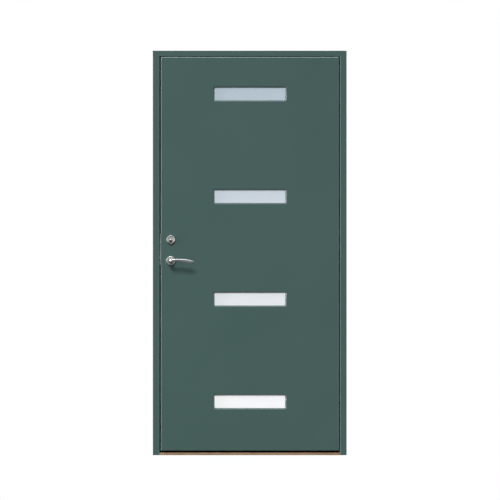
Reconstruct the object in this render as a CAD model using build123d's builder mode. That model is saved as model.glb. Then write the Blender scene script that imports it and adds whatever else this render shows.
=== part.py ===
from build123d import *
from math import cos, radians, sin
import os

# An outward-opening flush front door in its rebated timber frame, 10 modules wide.
# X runs along the wall, Z up, and Y inward. The origin is the middle of the sill's underside.

# Frame
frame_width = 990.0
frame_height = 2066.0
frame_depth = 105.0
jamb_face = 34.0
head_face = 28.5
stop_height = 18.0
frame_edge_radius = 4.0
frame_outer_radius = 1.5

# Threshold
nose_height = 13.0
nose_radius = 3.0
sill_rise = 4.0
sill_stop_height = 36.0
wear_strip_thickness = 1.5
wear_strip_lip = 12.0

# Gaps round the leaf
lock_gap = 7.2
hinge_gap = 5.8
head_gap = 3.2
bottom_gap = 9.7
seal_gap = 4.0

# Leaf
leaf_thickness = 62.0
skin_thickness = 6.0
leaf_edge_radius = 4.5
inner_edge_radius = 2.0
lock_stile_width = 92.0
hinge_stile_width = 60.0
top_rail_height = 60.0
bottom_rail_height = 90.0

# Four letterbox lights
light_count = 4
light_width = 376.0
light_height = 80.0
light_radius = 10.0
bevel_width = 7.7
bevel_depth = 9.0
bevel_lip = 0.8
trim_flange = 12.0
flange_radius = 12.0
sight_radius = 5.0
top_light_drop = 189.6
bottom_light_rise = 250.0
pane_thickness = 4.0
pane_count = 3
pane_margin = 8.0
pane_radius = 3.0
spacer_inset = 2.0
spacer_width = 10.0
core_clearance = 0.5

# Weather seal
groove_width = 4.0
groove_depth = 8.0
seal_inset = 6.5
seal_foot_clearance = 0.2
seal_bulb_width = 7.0
seal_bulb_radius = 1.2
seal_clearance = 0.3

# Screws and wall fixings
screw_radius = 2.2
screw_head_radius = 4.2
screw_head_height = 2.4
screw_length = 24.0
screw_clearance = 0.1
corner_screw_length = 70.0
corner_screw_front = 20.0
corner_screw_back = 20.0
sill_screw_height = 18.0
sill_screw_margin = 12.0
sleeve_radius = 7.0
sleeve_bore_radius = 4.1
sleeve_recess = 2.0
sleeve_clearance = 0.1
sleeve_depth = 33.0
sleeves_per_jamb = 4
lowest_sleeve = 160.0
highest_sleeve_drop = 181.0

# Lock
lever_height = 993.0
backset = 51.0
cylinder_rise = 97.0
faceplate_height = 160.0
faceplate_rise = 56.7
faceplate_thickness = 3.5
faceplate_depth = 44.0
faceplate_return = 3.0
faceplate_radius = 1.2
faceplate_joint = 0.4
lock_screw_inset = 6.0
case_length = 75.0
case_thickness = 16.0
case_height = 136.0
case_wall = 1.5
case_clearance = 0.5
bolt_thickness = 12.0
bolt_clearance = 0.3
latch_rise = 20.0
latch_height = 20.0
latch_throw = 11.0
latch_nose = 2.0
latch_body = 12.0
latch_tail_height = 10.0
tail_thickness = 3.5
catch_length = 5.0
dead_bolt_rise = 65.0
dead_bolt_height = 24.0
dead_bolt_throw = 20.0
dead_bolt_body = 34.0
dead_bolt_nose = 1.0
follower_radius = 9.0
journal_radius = 7.9
follower_arm = 16.0
follower_arm_width = 8.0
cam_hub_radius = 7.0
cam_pin_radius = 2.5
cam_arm_width = 8.0
cam_thickness = 4.0
notch_clearance = 0.6
notch_wall = 5.0
plate_lap = 1.0
running_clearance = 0.1
layer_play = 0.5

# Strike
strike_thickness = 3.0
strike_width = 26.0
strike_radius = 3.0
strike_play = 0.7
strike_pocket_depth = 24.0
strike_pocket_margin = 2.0

# Cylinder, thumbturn and handles
ring_radius = 21.4
ring_rise = 12.0
ring_height = 10.0
ring_lobe_radius = 14.0
ring_recess_radius = 17.0
ring_recess_depth = 4.0
ring_edge = 2.5
boss_radius = 11.0
boss_recess = 1.0
cylinder_height = 40.0
cylinder_clearance = 0.3
plug_radius = 6.4
plug_recess = 0.5
keyway_width = 1.8
keyway_height = 8.0
keyway_depth = 14.0
plug_tail_radius = 2.5
rose_radius = 24.0
rose_height = 9.0
rose_edge = 2.0
rose_dish_radius = 16.5
rose_dish_depth = 2.5
neck_radius = 10.5
neck_clearance = 0.4
neck_lift = 0.5
spindle_size = 8.0
spindle_clearance = 0.1
spindle_seat = 34.0
spindle_end_play = 2.0
spindle_hole_radius = 9.5
handle_reach = 52.0
handle_length = 118.0
handle_bend = 16.0
neck_blend = 5.0
bend_rise = 1.5
bend_radii = (9.2, 9.6)
turn_shaft_radius = 4.0
turn_square = 5.6
turn_rose_height = 8.0
turn_length = 34.0
turn_width = 12.0
turn_height = 18.0
turn_lift = 1.0
turn_edge = 2.0

# Sections of the lever's arm: distance from the axis, rise of the middle, half height and half thickness
arm_sections = [
    (0.165 * handle_length, 3.4, 7.3, 7.3),
    (0.28 * handle_length, 3.6, 6.6, 6.3),
    (0.42 * handle_length, 1.5, 8.6, 5.6),
    (0.58 * handle_length, -0.4, 9.9, 4.8),
    (0.74 * handle_length, -3.3, 10.4, 4.0),
    (0.88 * handle_length, -5.8, 8.4, 3.0),
    (handle_length, -5.0, 2.4, 1.2),
]

# Concealed hinges
hinge_count = 3
top_hinge_drop = 244.3
bottom_hinge_rise = 227.3
axis_depth = 1.5
link_angle = 20.0
link_length = 20.0
link_extension = 9.0
link_width = 5.5
eye_radius = 4.0
hinge_pin_radius = 2.2
hinge_pin_clearance = 0.08
link_thickness = 13.0
link_play = 0.5
pin_seat = 6.0
pin_end_play = 0.3
cup_front = 11.0
cup_width = 43.5
cup_depth = 14.5
cup_height = 110.0
cup_wall = 2.0
cup_floor = 2.5
cup_corner = 6.0
cup_clearance = 0.3
cup_screw_spacing = 92.0

# Places that follow from the sizes
front = -frame_depth / 2
back = frame_depth / 2
jamb_inner = frame_width / 2 - jamb_face
stop_inner = jamb_inner - stop_height
stop_depth = leaf_thickness + seal_gap
stop_face = front + stop_depth
head_underside = frame_height - head_face
leaf_left = -jamb_inner + lock_gap
leaf_right = jamb_inner - hinge_gap
leaf_bottom = nose_height + bottom_gap
leaf_top = head_underside - head_gap
leaf_width = leaf_right - leaf_left
leaf_height = leaf_top - leaf_bottom
leaf_x = (leaf_left + leaf_right) / 2
leaf_z = (leaf_bottom + leaf_top) / 2
core_depth = leaf_thickness - 2 * skin_thickness
core_left = leaf_left + lock_stile_width
core_right = leaf_right - hinge_stile_width
core_bottom = leaf_bottom + bottom_rail_height
core_top = leaf_top - top_rail_height

lowest_light = leaf_bottom + bottom_light_rise
highest_light = leaf_top - top_light_drop
light_pitch = (highest_light - lowest_light) / (light_count - 1)
light_heights = [highest_light - n * light_pitch for n in range(light_count)]
sight_width = light_width - 2 * bevel_width
sight_height = light_height - 2 * bevel_width
flange_width = light_width + 2 * trim_flange
flange_height = light_height + 2 * trim_flange
pane_width = light_width + 2 * pane_margin
pane_height = light_height + 2 * pane_margin
unit_depth = leaf_thickness - 2 * bevel_depth
cavity_depth = (unit_depth - pane_count * pane_thickness) / (pane_count - 1)

seal_width = 2 * (stop_inner + seal_inset)
seal_bottom = sill_stop_height - seal_inset
seal_top = head_underside - stop_height + seal_inset
seal_height = seal_top - seal_bottom
seal_z = (seal_top + seal_bottom) / 2

sleeve_pitch = (frame_height - lowest_sleeve - highest_sleeve_drop) / (sleeves_per_jamb - 1)
sleeve_heights = [lowest_sleeve + n * sleeve_pitch for n in range(sleeves_per_jamb)]
sleeve_y = front + sleeve_depth

lock_depth = leaf_thickness / 2
lock_y = front + lock_depth
spindle_x = leaf_left + backset
cylinder_z = lever_height + cylinder_rise
faceplate_z = lever_height + faceplate_rise
case_front = lock_depth - case_thickness / 2
bolt_front = lock_depth - bolt_thickness / 2
bolt_back = lock_depth + bolt_thickness / 2
latch_z = lever_height + latch_rise
dead_bolt_z = lever_height + dead_bolt_rise
ring_z = cylinder_z + ring_rise
cam_layer = bolt_front + tail_thickness + layer_play
cam_radius = dead_bolt_throw / (2 * sin(radians(45)))
faceplate_x = leaf_left - faceplate_thickness

lowest_hinge = leaf_bottom + bottom_hinge_rise
highest_hinge = leaf_top - top_hinge_drop
hinge_pitch = (highest_hinge - lowest_hinge) / (hinge_count - 1)
hinge_heights = [lowest_hinge + n * hinge_pitch for n in range(hinge_count)]
hinge_x = (leaf_right + jamb_inner) / 2
hinge_y = front + axis_depth
stack_height = 4 * link_thickness + 3 * link_play
cavity_height = stack_height + 2 * link_play
cup_y = front + cup_front + cup_width / 2


def upright(depth):
    """The upright plane at this depth behind the outside face: X to the right and Z up, as seen from outside."""
    return Plane(origin=(0, front + depth, 0), x_dir=(1, 0, 0), z_dir=(0, -1, 0))


def edge_plane(x, y, z, outward):
    """A plane on an edge of the leaf or frame, facing along X in the outward direction."""
    return Plane(origin=(x, y, z), x_dir=(0, 1, 0), z_dir=(outward, 0, 0))


def save(piece, name):
    """Label a finished piece and write it."""
    piece.part.label = name
    export_step(piece.part, f"parts/{name}.step")


os.makedirs("parts", exist_ok=True)
hung = (Align.CENTER, Align.CENTER, Align.MAX)

# Where the countersunk screws stand: each plane faces the way the screw was driven from
lock_screw_spacing = faceplate_height - 2 * lock_screw_inset
lock_screw_rows = [faceplate_z - lock_screw_spacing / 2, faceplate_z + lock_screw_spacing / 2]
strike_screw_planes = [edge_plane(-jamb_inner, lock_y, z, 1) for z in lock_screw_rows]
faceplate_screw_planes = [edge_plane(faceplate_x, lock_y, z, -1) for z in lock_screw_rows]
cup_screw_rows = [z + end * cup_screw_spacing / 2 for z in hinge_heights for end in (-1, 1)]
jamb_cup_screw_planes = [edge_plane(jamb_inner, cup_y, z, -1) for z in cup_screw_rows]
stile_cup_screw_planes = [edge_plane(leaf_right, cup_y, z, 1) for z in cup_screw_rows]
screw_hole_radius = screw_radius + screw_clearance
screw_seat_radius = screw_head_radius + screw_clearance

# The long screws of the frame's corners: down through the head, and inward through the jambs' feet
corner_screw_rows = [front + corner_screw_front, back - corner_screw_back]
sill_screw_rows = [stop_face + sill_screw_margin, back - sill_screw_margin]
head_screw_places = [
    Plane(origin=(side * (frame_width - jamb_face) / 2, y, frame_height))
    for side in (-1, 1)
    for y in corner_screw_rows
]
sill_screw_places = [
    edge_plane(side * frame_width / 2, y, sill_screw_height, side) for side in (-1, 1) for y in sill_screw_rows
]

# The groove that holds the weather seal runs round all four sides of the stop
with BuildSketch(upright(stop_depth)) as groove_ring:
    with Locations((0, seal_z)):
        Rectangle(seal_width + groove_width, seal_height + groove_width)
        Rectangle(seal_width - groove_width, seal_height - groove_width, mode=Mode.SUBTRACT)

# Lock-side jamb, with the strike's recess and the pocket for both bolts
with BuildPart() as lock_jamb:
    with BuildSketch() as lock_section:
        with BuildLine():
            Polyline(
                (-frame_width / 2, front),
                (-jamb_inner, front),
                (-jamb_inner, stop_face),
                (-stop_inner, stop_face),
                (-stop_inner, back),
                (-frame_width / 2, back),
                close=True,
            )
        make_face()
        fillet(lock_section.vertices().group_by(Axis.Y)[0].sort_by(Axis.X)[-1], frame_edge_radius)
        fillet(lock_section.vertices().group_by(Axis.Y)[0].sort_by(Axis.X)[0], frame_outer_radius)
    extrude(amount=head_underside)
    extrude(groove_ring.sketch, amount=-groove_depth, mode=Mode.SUBTRACT)
    with BuildSketch(edge_plane(-jamb_inner, lock_y, faceplate_z, 1)):
        RectangleRounded(strike_width, faceplate_height, strike_radius)
    extrude(amount=-strike_thickness, mode=Mode.SUBTRACT)
    pocket_bottom = latch_z - latch_height / 2 - strike_pocket_margin
    pocket_top = dead_bolt_z + dead_bolt_height / 2 + strike_pocket_margin
    with BuildSketch(edge_plane(-jamb_inner, lock_y, (pocket_bottom + pocket_top) / 2, 1)):
        Rectangle(bolt_thickness + 2 * strike_pocket_margin, pocket_top - pocket_bottom)
    extrude(amount=-strike_pocket_depth, mode=Mode.SUBTRACT)
    with Locations([edge_plane(-jamb_inner, sleeve_y, z, 1) for z in sleeve_heights]):
        Hole(sleeve_radius + sleeve_clearance)
    with Locations(strike_screw_planes):
        Hole(screw_hole_radius, depth=screw_length + screw_clearance)
    with Locations(head_screw_places[:2]):
        Hole(screw_hole_radius, depth=corner_screw_length + screw_clearance)
    with Locations(sill_screw_places[:2]):
        CounterSinkHole(screw_hole_radius, screw_seat_radius, depth=2 * jamb_face)
save(lock_jamb, "lock_jamb")

# Hinge-side jamb, with mortises for the three hinge cups
with BuildPart() as hinge_jamb:
    with BuildSketch() as hinge_section:
        with BuildLine():
            Polyline(
                (frame_width / 2, front),
                (jamb_inner, front),
                (jamb_inner, stop_face),
                (stop_inner, stop_face),
                (stop_inner, back),
                (frame_width / 2, back),
                close=True,
            )
        make_face()
        fillet(hinge_section.vertices().group_by(Axis.Y)[0].sort_by(Axis.X)[0], frame_edge_radius)
        fillet(hinge_section.vertices().group_by(Axis.Y)[0].sort_by(Axis.X)[-1], frame_outer_radius)
    extrude(amount=head_underside)
    extrude(groove_ring.sketch, amount=-groove_depth, mode=Mode.SUBTRACT)
    with BuildSketch(*[edge_plane(jamb_inner, cup_y, z, -1) for z in hinge_heights]):
        RectangleRounded(cup_width + 2 * cup_clearance, cup_height + 2 * cup_clearance, cup_corner)
    extrude(amount=-cup_depth, mode=Mode.SUBTRACT)
    with Locations([edge_plane(jamb_inner, sleeve_y, z, -1) for z in sleeve_heights]):
        Hole(sleeve_radius + sleeve_clearance)
    with Locations(jamb_cup_screw_planes):
        Hole(screw_hole_radius, depth=screw_length + screw_clearance)
    with Locations(head_screw_places[2:]):
        Hole(screw_hole_radius, depth=corner_screw_length + screw_clearance)
    with Locations(sill_screw_places[2:]):
        CounterSinkHole(screw_hole_radius, screw_seat_radius, depth=2 * jamb_face)
save(hinge_jamb, "hinge_jamb")

# Head, lying over both jambs, with its stop between theirs
with BuildPart() as head:
    with BuildSketch(Plane.XY.offset(head_underside)):
        Rectangle(frame_width, frame_depth)
    extrude(amount=head_face)
    with BuildSketch(Plane.XY.offset(head_underside)):
        with Locations((0, (stop_face + back) / 2)):
            Rectangle(2 * stop_inner, back - stop_face)
    extrude(amount=-stop_height)
    extrude(groove_ring.sketch, amount=-groove_depth, mode=Mode.SUBTRACT)
    front_top = head.edges().filter_by(Axis.X).group_by(Axis.Y)[0].sort_by(Axis.Z)[-1]
    fillet(front_top, frame_outer_radius)
    with Locations(head_screw_places):
        CounterSinkHole(screw_hole_radius, screw_seat_radius)
save(head, "head")

# Oak threshold between the jambs, sloped to shed water, with the stop at the back
sill_top = sill_stop_height - wear_strip_thickness
with BuildPart() as threshold:
    with BuildSketch(Plane.YZ.offset(-jamb_inner)) as sill_section:
        with BuildLine():
            Polyline(
                (front, 0),
                (front, nose_height),
                (stop_face, nose_height + sill_rise),
                (stop_face, sill_top),
                (back, sill_top),
                (back, 0),
                close=True,
            )
        make_face()
        fillet(sill_section.vertices().group_by(Axis.X)[0].sort_by(Axis.Y)[-1], nose_radius)
    extrude(amount=2 * jamb_inner)
    for side in (-1, 1):
        with BuildSketch(Plane.XY):
            with Locations((side * (stop_inner + jamb_inner) / 2, (stop_face + back) / 2)):
                Rectangle(jamb_inner - stop_inner, back - stop_face)
        extrude(amount=sill_top, mode=Mode.SUBTRACT)
    extrude(groove_ring.sketch, amount=-groove_depth, mode=Mode.SUBTRACT)
    with Locations(sill_screw_places):
        Hole(screw_hole_radius, depth=corner_screw_length + screw_clearance)
save(threshold, "threshold")

# Aluminium strip on the part of the threshold that is trodden on
with BuildPart() as wear_strip:
    with BuildSketch(Plane.YZ.offset(-stop_inner)):
        with BuildLine():
            Polyline(
                (stop_face, sill_top),
                (stop_face, sill_stop_height),
                (back + wear_strip_thickness, sill_stop_height),
                (back + wear_strip_thickness, sill_stop_height - wear_strip_lip),
                (back, sill_stop_height - wear_strip_lip),
                (back, sill_top),
                close=True,
            )
        make_face()
    extrude(amount=2 * stop_inner)
save(wear_strip, "wear_strip")

# Weather seal: a foot in the groove and a bulb that the leaf closes on
seal_foot = groove_width - 2 * seal_foot_clearance
with BuildPart() as weather_seal:
    with BuildSketch(upright(stop_depth)):
        with Locations((0, seal_z)):
            Rectangle(seal_width + seal_foot, seal_height + seal_foot)
            Rectangle(seal_width - seal_foot, seal_height - seal_foot, mode=Mode.SUBTRACT)
    extrude(amount=-(groove_depth - seal_foot_clearance))
    with BuildSketch(upright(stop_depth)):
        with Locations((0, seal_z)):
            Rectangle(seal_width + seal_bulb_width, seal_height + seal_bulb_width)
            Rectangle(seal_width - seal_bulb_width, seal_height - seal_bulb_width, mode=Mode.SUBTRACT)
    extrude(amount=seal_gap - seal_clearance)
    fillet(weather_seal.faces().sort_by(Axis.Y)[0].edges(), seal_bulb_radius)
save(weather_seal, "weather_seal")

# Long screws that join the head and the threshold to the jambs
with BuildPart() as corner_screws:
    with Locations(head_screw_places + sill_screw_places):
        Cylinder(screw_radius, corner_screw_length, align=hung)
        Cone(screw_radius, screw_head_radius, screw_head_height, align=hung)
save(corner_screws, "corner_screws")

# Steel sleeves through both jambs, which take the screws into the wall
sleeve_length = jamb_face - 2 * sleeve_recess
with BuildPart() as fixing_sleeves:
    with Locations([edge_plane(side * jamb_inner, sleeve_y, z, -side) for side in (-1, 1) for z in sleeve_heights]):
        with Locations((0, 0, -sleeve_recess)):
            Cylinder(sleeve_radius, sleeve_length, align=hung)
            Hole(sleeve_bore_radius)
save(fixing_sleeves, "fixing_sleeves")

# Strike plate, let in flush, with a mouth for each bolt
with BuildPart() as strike_plate:
    with BuildSketch(edge_plane(-jamb_inner, lock_y, faceplate_z, 1)):
        RectangleRounded(strike_width, faceplate_height, strike_radius)
    extrude(amount=-strike_thickness)
    for z, height in ((latch_z, latch_height), (dead_bolt_z, dead_bolt_height)):
        with BuildSketch(edge_plane(-jamb_inner, lock_y, z, 1)):
            Rectangle(bolt_thickness + 2 * strike_play, height + 2 * strike_play)
        extrude(amount=-strike_thickness, mode=Mode.SUBTRACT)
    with Locations(strike_screw_planes):
        CounterSinkHole(screw_hole_radius, screw_seat_radius)
save(strike_plate, "strike_plate")

# Leaf facings: one sheet outside and one inside, cut out for the lights and the handles
stadium_centre = cylinder_z - boss_radius + cylinder_height / 2
for name, depth, inward, edge_radius in (
    ("outer_skin", 0, 1, leaf_edge_radius),
    ("inner_skin", leaf_thickness, -1, inner_edge_radius),
):
    with BuildPart() as skin:
        with BuildSketch(upright(depth)):
            with Locations((leaf_x, leaf_z)):
                Rectangle(leaf_width, leaf_height)
        extrude(amount=-inward * skin_thickness)
        fillet(skin.faces().sort_by(Axis.Y)[0 if inward == 1 else -1].edges(), edge_radius)
        with BuildSketch(upright(depth)):
            with Locations(*[(leaf_x, z) for z in light_heights]):
                RectangleRounded(light_width, light_height, light_radius)
            with Locations((spindle_x, lever_height)):
                Circle(spindle_hole_radius)
            if inward == 1:
                with Locations((spindle_x, stadium_centre)):
                    SlotOverall(
                        cylinder_height + 2 * cylinder_clearance,
                        2 * (boss_radius + cylinder_clearance),
                        rotation=90,
                    )
            else:
                with Locations((spindle_x, cylinder_z)):
                    Circle(turn_shaft_radius + cylinder_clearance)
        extrude(amount=-inward * skin_thickness, mode=Mode.SUBTRACT)
        if inward == 1:
            with BuildSketch(upright(0)):
                with Locations((leaf_left, faceplate_z)):
                    Rectangle(
                        2 * (faceplate_return + faceplate_joint),
                        faceplate_height + 2 * faceplate_joint,
                    )
            extrude(amount=-faceplate_thickness, mode=Mode.SUBTRACT)
    save(skin, name)

# Lock stile, mortised for the case and bored for the spindle, cylinder and thumbturn
with BuildPart() as lock_stile:
    with BuildSketch(upright(skin_thickness)):
        with Locations((leaf_left + lock_stile_width / 2, leaf_z)):
            Rectangle(lock_stile_width, leaf_height)
    extrude(amount=-core_depth)
    with BuildSketch(edge_plane(leaf_left, lock_y, faceplate_z, -1)):
        Rectangle(case_thickness + 2 * case_clearance, case_height + 2 * case_clearance)
    extrude(amount=-(case_length + case_clearance), mode=Mode.SUBTRACT)
    with BuildSketch(upright(skin_thickness)):
        with Locations((spindle_x, lever_height)):
            Circle(spindle_hole_radius)
        with Locations((spindle_x, stadium_centre)):
            SlotOverall(
                cylinder_height + 2 * cylinder_clearance,
                2 * (boss_radius + cylinder_clearance),
                rotation=90,
            )
    extrude(amount=-(lock_depth - skin_thickness), mode=Mode.SUBTRACT)
    with BuildSketch(upright(lock_depth)):
        with Locations((spindle_x, lever_height)):
            Circle(spindle_hole_radius)
        with Locations((spindle_x, cylinder_z)):
            Circle(turn_shaft_radius + cylinder_clearance)
    extrude(amount=-(leaf_thickness - skin_thickness - lock_depth), mode=Mode.SUBTRACT)
    with Locations(faceplate_screw_planes):
        Hole(screw_hole_radius, depth=screw_length + screw_clearance)
save(lock_stile, "lock_stile")

# Hinge stile, mortised for the three hinge cups
with BuildPart() as hinge_stile:
    with BuildSketch(upright(skin_thickness)):
        with Locations((leaf_right - hinge_stile_width / 2, leaf_z)):
            Rectangle(hinge_stile_width, leaf_height)
    extrude(amount=-core_depth)
    with BuildSketch(*[edge_plane(leaf_right, cup_y, z, 1) for z in hinge_heights]):
        RectangleRounded(cup_width + 2 * cup_clearance, cup_height + 2 * cup_clearance, cup_corner)
    extrude(amount=-cup_depth, mode=Mode.SUBTRACT)
    with Locations(stile_cup_screw_planes):
        Hole(screw_hole_radius, depth=screw_length + screw_clearance)
save(hinge_stile, "hinge_stile")

# Top and bottom rails between the stiles
core_x = (core_left + core_right) / 2
core_width = core_right - core_left
for name, bottom, top in (("bottom_rail", leaf_bottom, core_bottom), ("top_rail", core_top, leaf_top)):
    with BuildPart() as rail:
        with BuildSketch(upright(skin_thickness)):
            with Locations((core_x, (bottom + top) / 2)):
                Rectangle(core_width, top - bottom)
        extrude(amount=-core_depth)
    save(rail, name)

# Insulation core, cut out for the glass units
with BuildPart() as insulation_core:
    with BuildSketch(upright(skin_thickness)):
        with Locations((core_x, (core_bottom + core_top) / 2)):
            Rectangle(core_width, core_top - core_bottom)
        with Locations(*[(leaf_x, z) for z in light_heights]):
            RectangleRounded(
                flange_width + 2 * core_clearance,
                flange_height + 2 * core_clearance,
                flange_radius,
                mode=Mode.SUBTRACT,
            )
    extrude(amount=-core_depth)
save(insulation_core, "insulation_core")


def make_light_trim(z, depth, inward):
    """A sloped frame that lies flush in the facing and holds the glass unit with a flange behind it."""
    with BuildPart() as trim:
        with BuildSketch(upright(depth)):
            with Locations((leaf_x, z)):
                RectangleRounded(light_width, light_height, light_radius)
        extrude(amount=-inward * bevel_depth)
        with BuildSketch(upright(depth + inward * skin_thickness)):
            with Locations((leaf_x, z)):
                RectangleRounded(flange_width, flange_height, flange_radius)
        extrude(amount=-inward * (bevel_depth - skin_thickness))
        with BuildSketch(upright(depth)):
            with Locations((leaf_x, z)):
                RectangleRounded(light_width - 2 * bevel_lip, light_height - 2 * bevel_lip, light_radius - bevel_lip)
        with BuildSketch(upright(depth + inward * bevel_depth)):
            with Locations((leaf_x, z)):
                RectangleRounded(sight_width, sight_height, sight_radius)
        loft(mode=Mode.SUBTRACT)
    return trim


def make_panes(z):
    """The panes of one sealed glass unit."""
    with BuildPart() as panes:
        for n in range(pane_count):
            depth = bevel_depth + n * (pane_thickness + cavity_depth)
            with BuildSketch(upright(depth)):
                with Locations((leaf_x, z)):
                    RectangleRounded(pane_width, pane_height, pane_radius)
            extrude(amount=-pane_thickness)
    return panes


def make_spacers(z):
    """The bars round the cavities between the panes."""
    outer = (pane_width - 2 * spacer_inset, pane_height - 2 * spacer_inset)
    with BuildPart() as spacers:
        for n in range(pane_count - 1):
            depth = bevel_depth + pane_thickness + n * (pane_thickness + cavity_depth)
            with BuildSketch(upright(depth)):
                with Locations((leaf_x, z)):
                    Rectangle(*outer)
                    Rectangle(outer[0] - 2 * spacer_width, outer[1] - 2 * spacer_width, mode=Mode.SUBTRACT)
            extrude(amount=-cavity_depth)
    return spacers


# The four lights, counted from the top
for number, light_z in enumerate(light_heights, start=1):
    save(make_light_trim(light_z, 0, 1), f"light_{number}_outer_trim")
    save(make_light_trim(light_z, leaf_thickness, -1), f"light_{number}_inner_trim")
    save(make_panes(light_z), f"light_{number}_panes")
    save(make_spacers(light_z), f"light_{number}_spacers")

# Faceplate: a steel angle that wraps the leaf's lock edge, with openings for both bolts
with BuildPart() as faceplate:
    with BuildSketch(Plane.XY.offset(faceplate_z - faceplate_height / 2)) as angle_section:
        with BuildLine():
            Polyline(
                (faceplate_x, front),
                (leaf_left + faceplate_return, front),
                (leaf_left + faceplate_return, front + faceplate_thickness),
                (leaf_left, front + faceplate_thickness),
                (leaf_left, front + faceplate_depth),
                (faceplate_x, front + faceplate_depth),
                close=True,
            )
        make_face()
        fillet(angle_section.vertices().group_by(Axis.Y)[0].sort_by(Axis.X)[0], faceplate_radius)
    extrude(amount=faceplate_height)
    for z, height in ((latch_z, latch_height), (dead_bolt_z, dead_bolt_height)):
        with BuildSketch(edge_plane(faceplate_x, lock_y, z, -1)):
            Rectangle(bolt_thickness + 2 * bolt_clearance, height + 2 * bolt_clearance)
        extrude(amount=-faceplate_thickness, mode=Mode.SUBTRACT)
    with Locations(faceplate_screw_planes):
        CounterSinkHole(screw_hole_radius, screw_seat_radius)
save(faceplate, "faceplate")

# Lock case: a folded steel box with openings for the bolts, the follower's journals and the two tails
with BuildPart() as lock_case:
    with BuildSketch(edge_plane(leaf_left, lock_y, faceplate_z, -1)):
        Rectangle(case_thickness, case_height)
    extrude(amount=-case_length)
    with BuildSketch(edge_plane(leaf_left + case_wall, lock_y, faceplate_z, -1)):
        Rectangle(case_thickness - 2 * case_wall, case_height - 2 * case_wall)
    extrude(amount=-(case_length - 2 * case_wall), mode=Mode.SUBTRACT)
    for z, height in ((latch_z, latch_height), (dead_bolt_z, dead_bolt_height)):
        with BuildSketch(edge_plane(leaf_left, lock_y, z, -1)):
            Rectangle(bolt_thickness + 2 * bolt_clearance, height + 2 * bolt_clearance)
        extrude(amount=-case_wall, mode=Mode.SUBTRACT)
    with BuildSketch(upright(case_front)):
        with Locations((spindle_x, lever_height)):
            Circle(journal_radius + running_clearance)
        with Locations((spindle_x, cylinder_z)):
            Circle(turn_shaft_radius + cylinder_clearance)
    extrude(amount=-case_thickness, mode=Mode.SUBTRACT)
save(lock_case, "lock_case")

# Follower: the hub that the spindle turns, with the arm that draws the latch
hub_front = bolt_front + running_clearance
hub_length = bolt_thickness - 2 * running_clearance
arm_front = cam_layer
spindle_hole = spindle_size + 2 * spindle_clearance
with BuildPart() as follower:
    with BuildSketch(upright(hub_front)):
        with Locations((spindle_x, lever_height)):
            Circle(follower_radius)
    extrude(amount=-hub_length)
    with BuildSketch(upright(case_front)):
        with Locations((spindle_x, lever_height)):
            Circle(journal_radius)
    extrude(amount=-case_thickness)
    with BuildSketch(upright(arm_front)):
        with Locations((spindle_x, lever_height + follower_arm / 2)):
            Rectangle(follower_arm_width, follower_arm)
    extrude(amount=-(hub_front + hub_length - arm_front))
    with BuildSketch(upright(case_front)):
        with Locations((spindle_x, lever_height)):
            Rectangle(spindle_hole, spindle_hole)
    extrude(amount=-case_thickness, mode=Mode.SUBTRACT)
save(follower, "follower")

# Latch bolt: bevelled on the side that meets the strike as the door closes, with a tail past the follower's arm
latch_tip = faceplate_x - latch_throw
catch_x = spindle_x + follower_arm_width / 2 + bolt_clearance
catch_bottom = lever_height + follower_radius + bolt_clearance
catch_top = latch_z + latch_tail_height / 2
with BuildPart() as latch_bolt:
    with BuildSketch(Plane.XY.offset(latch_z - latch_height / 2)):
        with BuildLine():
            Polyline(
                (latch_tip, front + bolt_front),
                (leaf_left + latch_body, front + bolt_front),
                (leaf_left + latch_body, front + bolt_back),
                (faceplate_x, front + bolt_back),
                (latch_tip, front + bolt_front + latch_nose),
                close=True,
            )
        make_face()
    extrude(amount=latch_height)
    with BuildSketch(edge_plane(leaf_left + latch_body, front + bolt_front + tail_thickness / 2, latch_z, 1)):
        Rectangle(tail_thickness, latch_tail_height)
    extrude(amount=catch_x + catch_length - leaf_left - latch_body)
    with BuildSketch(upright(bolt_front)):
        with Locations((catch_x + catch_length / 2, (catch_bottom + catch_top) / 2)):
            Rectangle(catch_length, catch_top - catch_bottom)
    extrude(amount=-(bolt_thickness - running_clearance))
save(latch_bolt, "latch_bolt")

# Dead bolt: a square bolt with a plate behind it, notched for the cam's pin
notch_x = spindle_x + cam_radius * sin(radians(45))
notch_half = cam_pin_radius + notch_clearance
notch_bottom = cylinder_z - cam_radius - cam_pin_radius - notch_clearance
plate_bottom = dead_bolt_z - dead_bolt_height / 2
plate_top = cylinder_z - cam_radius * cos(radians(45)) + cam_pin_radius
plate_left = faceplate_x + dead_bolt_body - plate_lap
with BuildPart() as dead_bolt:
    with BuildSketch(edge_plane(faceplate_x, lock_y, dead_bolt_z, -1)):
        Rectangle(bolt_thickness, dead_bolt_height)
    extrude(amount=-dead_bolt_body)
    chamfer(dead_bolt.faces().sort_by(Axis.X)[0].edges(), dead_bolt_nose)
    with BuildSketch(upright(bolt_front)):
        with BuildLine():
            Polyline(
                (plate_left, plate_bottom),
                (notch_x + notch_half + notch_wall, plate_bottom),
                (notch_x + notch_half + notch_wall, plate_top),
                (notch_x + notch_half, plate_top),
                (notch_x + notch_half, notch_bottom),
                (notch_x - notch_half, notch_bottom),
                (notch_x - notch_half, plate_top),
                (notch_x - notch_half - notch_wall, plate_top),
                (notch_x - notch_half - notch_wall, plate_bottom + dead_bolt_height),
                (plate_left, plate_bottom + dead_bolt_height),
                close=True,
            )
        make_face()
    extrude(amount=-tail_thickness)
save(dead_bolt, "dead_bolt")

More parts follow.
